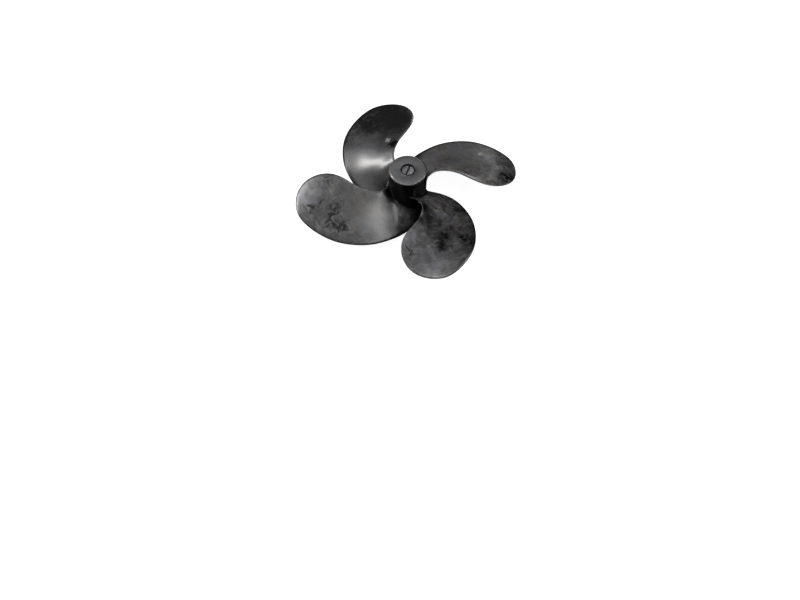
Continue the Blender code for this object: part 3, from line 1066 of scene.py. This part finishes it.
        # Painted highlight on the front of the nose's rim, painted shade on its back.
        rim = fading(np.hypot(beyond, points[:, 2] - self.nose_z), self.rim_reach)
        highlight_side = 0.5 + 0.5 * np.cos(np.radians(angle - self.nose_highlight_deg))
        values[Tint.RIM] += self.nose_painted_highlight * rim * highlight_side
        values[Tint.SHADE] += self.nose_shade * rim * (1.0 - highlight_side)
        on_nose = (beyond < 0.0) & (points[:, 2] > self.nose_z - self.nose_depth)
        on_barrel = (beyond < self.barrel_reach) & ~on_nose
        on_wall = on_barrel & (beyond > -self.wall_depth)
        # Painted shade on the barrel's side and in the fillets at the blades' roots.
        fillet = (beyond > MERGE_DISTANCE) * fading(beyond, self.fillet_reach)
        values[Tint.SHADE] += self.barrel_shade * on_wall + self.fillet_shade * fillet
        # Painted light: the nose's face is lighter towards the left, darker towards the right.
        nose_dust_and_light = self.nose_dust_and_light - self.nose_painted_light_fall * points[:, 0] / HUB_RADIUS
        # Less dust on the barrel, as painted shade.
        values[Tint.DUST] += nose_dust_and_light * on_nose + self.barrel_dust_for_shade * on_barrel
        values[Tint.EVEN] += self.nose_even * on_nose + self.barrel_even * on_barrel
        values[Tint.COOL] += self.nose_cool * on_nose
        for patch in self.patches:
            centre = self.blade.middle(np.array(patch.radius_mm * MM), np.array(patch.angle_deg))
            turn = Matrix.Rotation(math.radians(patch.blade.value), 3, "Z")
            apart = np.linalg.norm(points - np.array(turn @ Vector(centre)), axis=1)
            values[patch.tint] += patch.amount * fading(apart, patch.reach_mm * MM) * upper
        for tint, numbers in values.items():
            attribute = piece.data.attributes.new(tint.value, "FLOAT", "POINT")
            attribute.data.foreach_set("value", numbers.astype(np.float32))


@dataclass
class RetainingScrew(Subcomponent):
    """The slotted cheese-head screw in the nose."""

    name: str = "slotted_screw"
    node: str = "retaining_screw"
    look: str = "plated_steel"
    slot: str = "screw_steel"
    head_height: float = 5.0 * MM
    head_edge: float = 0.8 * MM
    shank_radius: float = 4.0 * MM
    end_chamfer: float = 0.6 * MM
    slot_width: float = 1.9 * MM
    slot_depth: float = 2.2 * MM
    slot_angle_deg: float = 73.0
    burr: float = 0.14 * MM
    burr_strips: int = 2
    crown: float = 0.40 * MM
    sides: int = 96
    edge_steps: int = 6
    sharp_deg: float = 40.0
    # Dark and matt below 55 mm: painted shade on the head's rounded edge, and grime in the slot.
    finish: WornMetal = WornMetal(
        (0.18, 0.18, 0.19), (0.10, 0.10, 0.105), (0.006, 0.006, 0.006), 0.34, grime_and_shade_below=55.0 * MM
    )

    def __post_init__(self) -> None:
        """Takes the screw's place from the frame."""
        low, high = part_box(self.node)
        self.head_radius = high.x
        self.top_z = high.z
        self.end_z = low.z
        self.seat_z = self.top_z - self.head_height

    def build(self) -> bpy.types.Object:
        """Turns the screw, with a slightly crowned head, and cuts its slot.

        Returns:
            The screw.
        """
        edge_z = self.top_z - self.crown - self.head_edge
        edge = (self.head_radius - self.head_edge, edge_z)
        profile = [(0.0, self.top_z), (self.head_radius / 2, self.top_z - self.crown / 4)]
        profile += arc(edge, self.head_edge, 90.0, 0.0, self.edge_steps)
        profile += [
            (self.head_radius, self.seat_z),
            (self.shank_radius, self.seat_z),
            (self.shank_radius, self.end_z + self.end_chamfer),
            (self.shank_radius - self.end_chamfer, self.end_z),
            (0.0, self.end_z),
        ]
        piece = turn_profile(self.name, profile, self.sides, False)
        shape = bmesh.new()
        size = Matrix.Diagonal((3 * self.head_radius, self.slot_width, 2 * self.slot_depth, 1.0))
        place = Matrix.Translation((0.0, 0.0, self.top_z))
        turn = Matrix.Rotation(math.radians(self.slot_angle_deg), 4, "Z")
        bmesh.ops.create_cube(shape, size=1.0, matrix=place @ turn @ size)
        combine(piece, [add_piece("slot", shape)], "DIFFERENCE")
        bevel = piece.modifiers.new("burr", "BEVEL")
        bevel.width, bevel.segments = self.burr, self.burr_strips
        bevel.limit_method = "ANGLE"
        bevel.angle_limit = math.radians(self.sharp_deg)
        settle(piece)
        smooth(piece, self.sharp_deg)
        return piece


@dataclass
class ShaftInsert(Subcomponent):
    """The metal sleeve in the hub, with the shaft's socket."""

    name: str = "shaft_sleeve"
    node: str = "shaft_insert"
    look: str = "turned_brass"
    slot: str = "insert_brass"
    socket_radius: float = 6.35 * MM
    socket_depth: float = 34.0 * MM
    mouth_chamfer: float = 0.6 * MM
    outer_edge: float = 0.3 * MM
    hole_radius: float = 4.3 * MM
    sides: int = 96
    edge_steps: int = 3
    sharp_deg: float = 35.0
    finish: WornMetal = WornMetal(
        (0.60, 0.44, 0.20), (0.40, 0.29, 0.14), (0.05, 0.04, 0.03), 0.30, 0.22 * MM
    )

    def build(self) -> bpy.types.Object:
        """Turns the sleeve.

        Returns:
            The sleeve.
        """
        low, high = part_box(self.node)
        floor = low.z + self.socket_depth
        outer = (high.x - self.outer_edge, low.z + self.outer_edge)
        profile = [(high.x, high.z)]
        profile += arc(outer, self.outer_edge, 0.0, -90.0, self.edge_steps)
        profile += [
            (self.socket_radius + self.mouth_chamfer, low.z),
            (self.socket_radius, low.z + self.mouth_chamfer),
            (self.socket_radius, floor),
            (self.hole_radius, floor),
            (self.hole_radius, high.z),
        ]
        piece = turn_profile(self.name, profile, self.sides, True)
        settle(piece)
        smooth(piece, self.sharp_deg)
        return piece


# Studio


@dataclass(frozen=True)
class SoftBox:
    """A rectangular studio lamp that faces the propeller."""

    name: str
    azimuth_deg: float
    elevation_deg: float
    width: float
    height: float
    watts: float
    spin_deg: float = 0.0
    distance: float = 1.4
    colour: Colour = WHITE

    def hang(self, target: Vector) -> None:
        """Hangs the lamp.

        Args:
            target: What it faces.
        """
        light = bpy.data.lights.new(self.name, "AREA")
        light.shape = "RECTANGLE"
        light.size, light.size_y = self.width, self.height
        light.energy = self.watts
        light.color = self.colour
        lamp = bpy.data.objects.new(self.name, light)
        bpy.context.scene.collection.objects.link(lamp)
        azimuth, elevation = math.radians(self.azimuth_deg), math.radians(self.elevation_deg)
        level = math.cos(elevation)
        away = Vector((level * math.cos(azimuth), level * math.sin(azimuth), math.sin(elevation)))
        lamp.location = target + away * self.distance
        aim = away.to_track_quat("Z", "Y").to_matrix().to_4x4()
        spin = Matrix.Rotation(math.radians(self.spin_deg), 4, "Z")
        lamp.matrix_world = Matrix.Translation(lamp.location) @ aim @ spin


@dataclass
class Studio:
    """The camera, the lamps, the sky light and the floor."""

    elevation_deg: float = 50.81
    roll_deg: float = 2.17
    distance: float = 1.030
    lens: float = 46.35
    shift: Point = (-0.0100, -0.1630)
    floor_size: float = 14.0
    floor_colour: Colour = (0.35, 0.35, 0.35)
    floor_roughness: float = 0.9
    floor_sheen: float = 0.1
    floor_glow: float = 0.96
    sky_glow: float = 0.02
    sky_span: Span = (-0.1, 0.9)
    sky_pale: float = 1.0
    lamps: tuple[SoftBox, ...] = (
        SoftBox("overhead", 0.0, 90.0, 1.80, 1.80, 13.2),
        SoftBox("left_strip", 166.0, 38.0, 0.15, 0.90, 12.6, 35.0, colour=(1.0, 0.985, 0.965)),
        SoftBox("left_rear_panel", 148.0, 47.0, 0.25, 0.45, 1.7),
        SoftBox("right_panel", -7.0, 62.0, 0.60, 0.25, 2.3),
        SoftBox("right_upright", -7.0, 62.0, 0.25, 0.60, 2.0),
        SoftBox("right_edge", 8.0, 50.0, 0.60, 0.25, 1.0),
        SoftBox("right_low", 15.0, 32.0, 0.40, 0.30, 3.4),
        SoftBox("rear_low", 80.0, 31.0, 0.30, 0.30, 2.2),
        SoftBox("rear_panel", 80.0, 55.0, 0.60, 0.30, 0.9),
    )

    def camera(self, target: Vector) -> None:
        """Places the camera that looks at the nose.

        Args:
            target: The middle of the nose face.
        """
        data = bpy.data.cameras.new("camera")
        data.lens = self.lens
        data.shift_x, data.shift_y = self.shift
        elevation = math.radians(self.elevation_deg)
        away = Vector((0.0, -math.cos(elevation), math.sin(elevation)))
        camera = bpy.data.objects.new("camera", data)
        bpy.context.scene.collection.objects.link(camera)
        tilt = Matrix.Rotation(QUARTER_TURN - elevation, 4, "X")
        roll = Matrix.Rotation(math.radians(self.roll_deg), 4, "Z")
        camera.matrix_world = Matrix.Translation(target + away * self.distance) @ tilt @ roll
        bpy.context.scene.camera = camera

    def floor(self) -> None:
        """Lays the pale floor that the propeller stands on."""
        shape = bmesh.new()
        bmesh.ops.create_grid(shape, x_segments=1, y_segments=1, size=self.floor_size / 2)
        floor = add_piece("floor", shape)
        material, bench = new_material("pale_floor")
        bench.surface(
            {
                "Base Color": self.floor_colour,
                "Roughness": self.floor_roughness,
                "Specular IOR Level": self.floor_sheen,
                "Emission Color": WHITE,
                "Emission Strength": self.floor_glow,
            }
        )
        floor.data.materials.append(material)
        floor.visible_diffuse = False
        floor.visible_glossy = False

    def sky(self) -> None:
        """Sets the even sky light, and the pale tone that the camera sees past the floor."""
        world = bpy.data.worlds.new("sky")
        world.use_nodes = True
        bpy.context.scene.world = world
        bench = Bench(world.node_tree)
        direction = bench.node("ShaderNodeTexCoord", output="Generated")
        up = bench.node("ShaderNodeSeparateXYZ", None, {0: direction}, "Z")
        glow = self.sky_glow * up.step(*self.sky_span)
        fill = bench.node("ShaderNodeBackground", None, {"Strength": glow})
        pale = bench.node("ShaderNodeBackground", None, {"Strength": self.sky_pale})
        seen = bench.node("ShaderNodeLightPath", output="Is Camera Ray")
        both = bench.node("ShaderNodeMixShader", None, {0: seen, 1: fill, 2: pale})
        bench.node("ShaderNodeOutputWorld", None, {"Surface": both})

    def build(self) -> None:
        """Sets up the studio."""
        scene = bpy.context.scene
        scene.view_settings.view_transform = "Standard"
        nose = Vector((0.0, 0.0, CAD_BOX[1].z))
        self.camera(nose)
        self.floor()
        self.sky()
        for lamp in self.lamps:
            lamp.hang(nose)
        LOG.info("studio: %d lamps", len(self.lamps))


def main() -> None:
    """Builds and dresses the propeller, piece by piece, and sets up the studio."""
    logging.basicConfig(level=logging.INFO, format="%(name)s: %(message)s")
    screw = RetainingScrew()
    for part in (Moulding(screw), screw, ShaftInsert()):
        part.dress(part.build())
    Studio().build()


if __name__ == "__main__":
    main()
